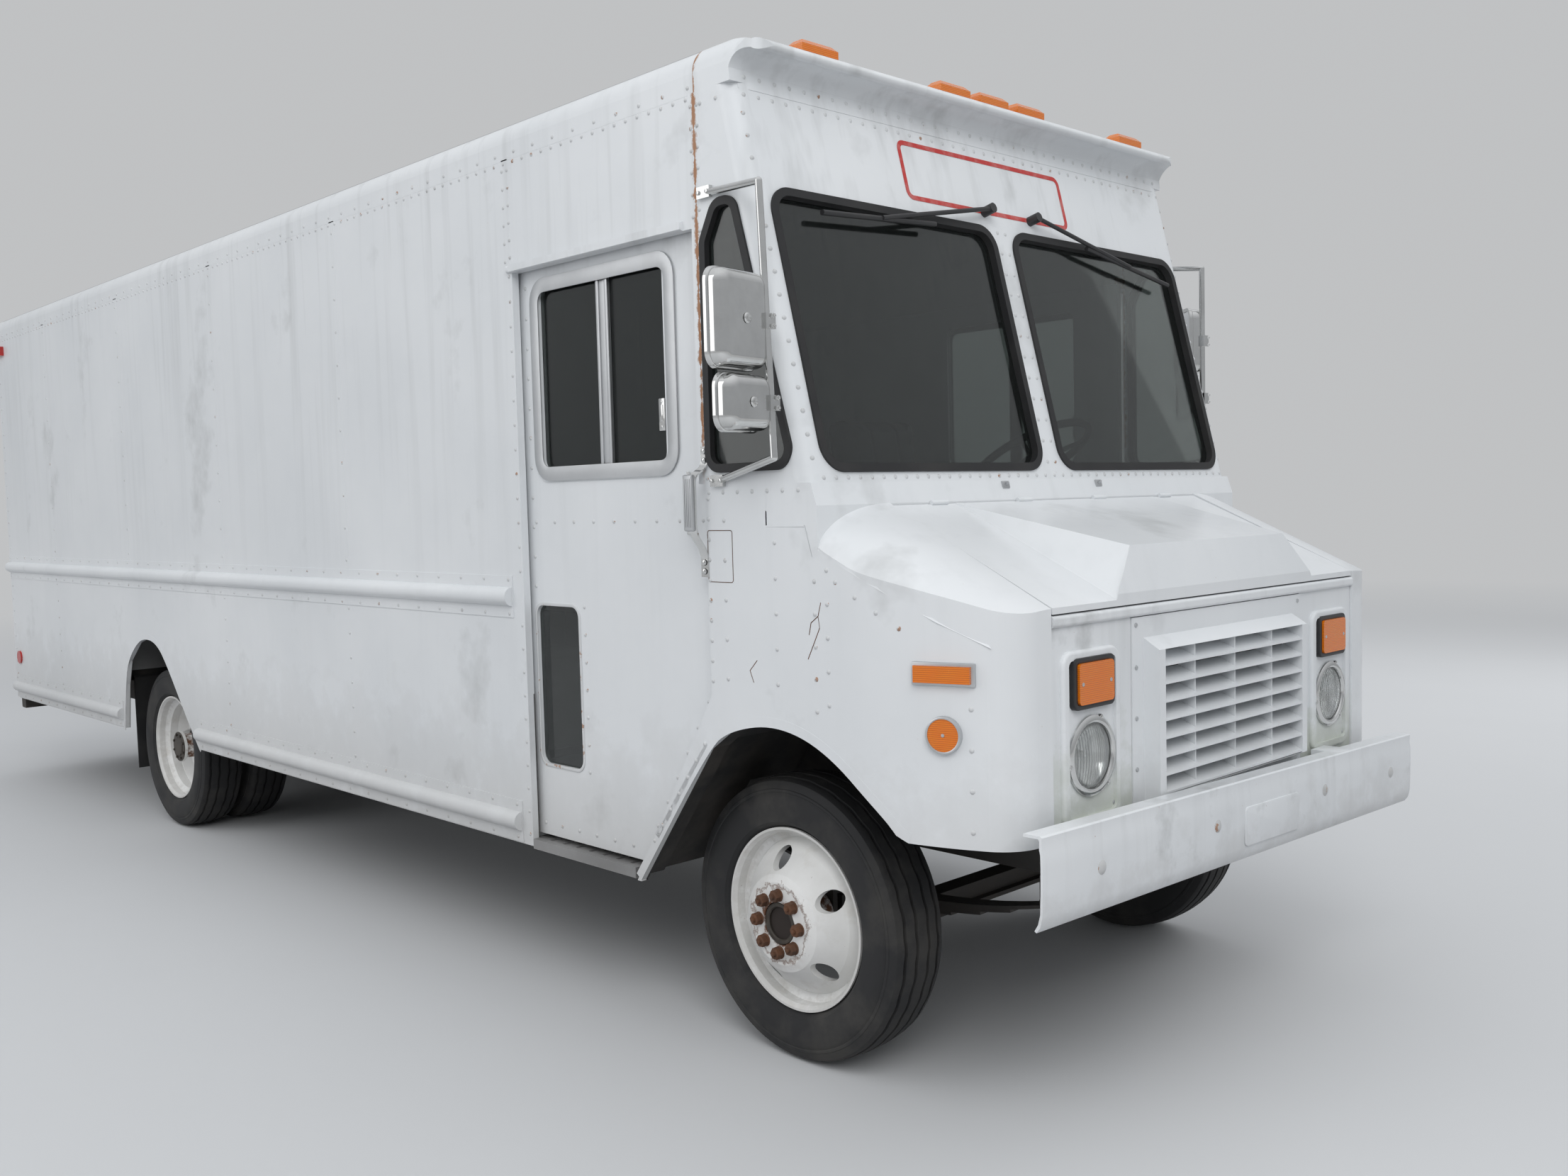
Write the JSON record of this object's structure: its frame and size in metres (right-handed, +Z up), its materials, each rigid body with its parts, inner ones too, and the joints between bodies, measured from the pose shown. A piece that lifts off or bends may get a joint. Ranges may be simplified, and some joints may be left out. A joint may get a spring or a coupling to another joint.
{
  "type": "walk-in step van",
  "caption": "White walk-in step van with short sloping nose, louvred grille, leaning split windshield, sliding cab doors and a long box body on twin rear wheels.",
  "frame": {"origin": "middle of the vehicle's footprint on the road", "axes": "-Y is the front of the vehicle, +X its left side, +Z up"},
  "size_m": [2.6191, 7.954, 2.8829],
  "materials": {
    "white_paint": "worn gloss",
    "bare_aluminium": "dull mill finish",
    "dark_glass": "tinted, dusty",
    "black_rubber": "matt",
    "tyre_rubber": "dusty matt",
    "chassis_black": "matt with rust",
    "wheel_white": "worn gloss, rusty hub",
    "lamp_glass": "clear fluted",
    "amber_plastic": "gloss",
    "red_plastic": "gloss",
    "stainless": "polished",
    "black_plastic": "matt",
    "cast_metal": "oily",
    "black_vinyl": "vinyl",
    "floor_metal": "worn plate"
  },
  "bodies": {
    "chassis": {"side_wall_right": "white_paint", "side_wall_left": "white_paint", "roof": "bare_aluminium", "brow": "white_paint", "cab_upper": "white_paint", "cab_lower": "white_paint", "cab_glass": "dark_glass", "window_gaskets": "black_rubber", "fender_right": "white_paint", "fender_left": "white_paint", "front_panel": "white_paint", "grille": "white_paint", "headlights": "lamp_glass", "amber_lamps": "amber_plastic", "red_lamps": "red_plastic", "front_bumper": "white_paint", "rear_bumper": "chassis_black", "frame_rails": "chassis_black", "front_axle": "chassis_black", "rear_axle": "chassis_black", "drivetrain": "cast_metal", "exhaust": "cast_metal", "fuel_tank": "chassis_black", "floor": "floor_metal", "steps": "floor_metal", "rear_frame": "white_paint", "mirror_right": "stainless", "mirror_left": "stainless", "wipers": "black_plastic", "dashboard": "black_plastic", "driver_seat": "black_vinyl", "mud_flaps": "black_rubber"},
    "knuckle_right": {"knuckle_right": "chassis_black"},
    "knuckle_left": {"knuckle_left": "chassis_black"},
    "front_wheel_right": {"front_wheel_right": "wheel_white", "front_tyre_right": "tyre_rubber"},
    "front_wheel_left": {"front_wheel_left": "wheel_white", "front_tyre_left": "tyre_rubber"},
    "rear_wheels_right": {"rear_wheels_right": "wheel_white", "rear_tyres_right": "tyre_rubber"},
    "rear_wheels_left": {"rear_wheels_left": "wheel_white", "rear_tyres_left": "tyre_rubber"},
    "door_right": {"door_right": "white_paint", "door_glass_right": "dark_glass"},
    "door_left": {"door_left": "white_paint", "door_glass_left": "dark_glass"},
    "hood": {"hood": "white_paint"},
    "rear_door_right": {"rear_door_right": "white_paint"},
    "rear_door_left": {"rear_door_left": "white_paint"},
    "steering_wheel": {"steering_wheel": "black_plastic"}
  },
  "joints": [
    {"name": "steer_right", "type": "hinge", "parent": "chassis", "child": "knuckle_right", "pos_m": [-0.735, -3.015, 0.4125], "axis": [0, 0, 1], "range_deg": [-30, 30]},
    {"name": "steer_left", "type": "hinge", "parent": "chassis", "child": "knuckle_left", "pos_m": [0.735, -3.015, 0.4125], "axis": [0, 0, 1], "range_deg": [-30, 30]},
    {"name": "front_wheel_right_spin", "type": "hinge", "parent": "knuckle_right", "child": "front_wheel_right", "pos_m": [-0.827, -3.015, 0.4125], "axis": [1, 0, 0], "continuous": true},
    {"name": "front_wheel_left_spin", "type": "hinge", "parent": "knuckle_left", "child": "front_wheel_left", "pos_m": [0.827, -3.015, 0.4125], "axis": [1, 0, 0], "continuous": true},
    {"name": "rear_wheels_right_spin", "type": "hinge", "parent": "chassis", "child": "rear_wheels_right", "pos_m": [-0.7725, 1.506, 0.4125], "axis": [1, 0, 0], "continuous": true},
    {"name": "rear_wheels_left_spin", "type": "hinge", "parent": "chassis", "child": "rear_wheels_left", "pos_m": [0.7725, 1.506, 0.4125], "axis": [1, 0, 0], "continuous": true},
    {"name": "door_right_slide", "type": "slide", "parent": "chassis", "child": "door_right", "axis": [0, 1, 0], "range_m": [0, 0.8]},
    {"name": "door_left_slide", "type": "slide", "parent": "chassis", "child": "door_left", "axis": [0, 1, 0], "range_m": [0, 0.8]},
    {"name": "hood_hinge", "type": "hinge", "parent": "chassis", "child": "hood", "pos_m": [0, -3.3223, 1.594], "axis": [-1, 0, 0], "range_deg": [0, 55]},
    {"name": "rear_door_right_hinge", "type": "hinge", "parent": "chassis", "child": "rear_door_right", "pos_m": [-0.767, 3.902, 1.67], "axis": [0, 0, 1], "range_deg": [0, 170]},
    {"name": "rear_door_left_hinge", "type": "hinge", "parent": "chassis", "child": "rear_door_left", "pos_m": [0.767, 3.902, 1.67], "axis": [0, 0, -1], "range_deg": [0, 170]},
    {"name": "steering_wheel_turn", "type": "hinge", "parent": "chassis", "child": "steering_wheel", "pos_m": [0.545, -2.81, 1.745], "axis": [0, 0.5, 0.866], "range_deg": [-450, 450]}
  ],
  "couplings": [
    {"joint": "steer_left", "follows": "steer_right", "ratio": 1},
    {"joint": "steering_wheel_turn", "follows": "steer_right", "ratio": 15}
  ]
}
